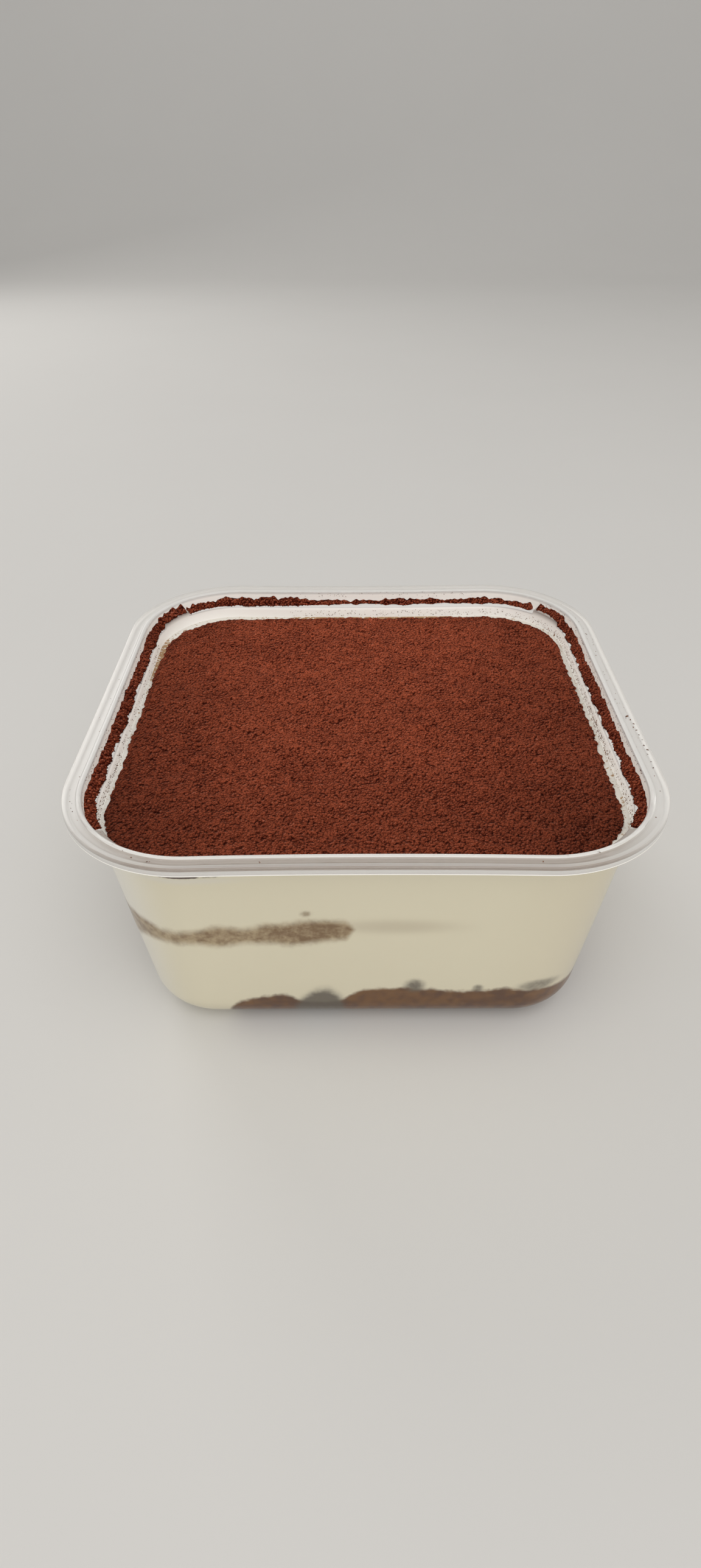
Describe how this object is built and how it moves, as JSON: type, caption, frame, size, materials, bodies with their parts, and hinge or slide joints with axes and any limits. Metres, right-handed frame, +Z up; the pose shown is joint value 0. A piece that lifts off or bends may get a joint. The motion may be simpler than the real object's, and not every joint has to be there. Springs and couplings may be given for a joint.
{
  "type": "tiramisu in a clear square plastic tub",
  "caption": "Tiramisu in an open square clear plastic tub: sponge and pale cream in layers under a level dusting of cocoa, some of it on the step below the rim.",
  "frame": {"origin": "centre of the tub's flat base", "axes": "+Z up out of the open mouth, -Y towards the side that faces the viewer, +X to that viewer's right"},
  "size_m": [0.1276, 0.125, 0.062],
  "materials": {
    "clear_plastic": "clear, slightly milky, glossy",
    "soaked_sponge": "moist, porous",
    "soaked_sponge_upper": "moist, porous",
    "cream": "smooth, satin",
    "cocoa": "dry powder, matt",
    "cocoa_on_step": "dry powder, matt"
  },
  "bodies": {
    "root": {"tub": "clear_plastic", "sponge_bottom": "soaked_sponge", "sponge_middle": "soaked_sponge_upper", "cream_lower": "cream", "cream_upper": "cream", "cocoa_top": "cocoa", "ledge_cocoa_left": "cocoa_on_step", "ledge_cocoa_back": "cocoa_on_step", "ledge_cocoa_right": "cocoa_on_step", "ledge_cocoa_front": "cocoa_on_step"}
  },
  "joints": []
}
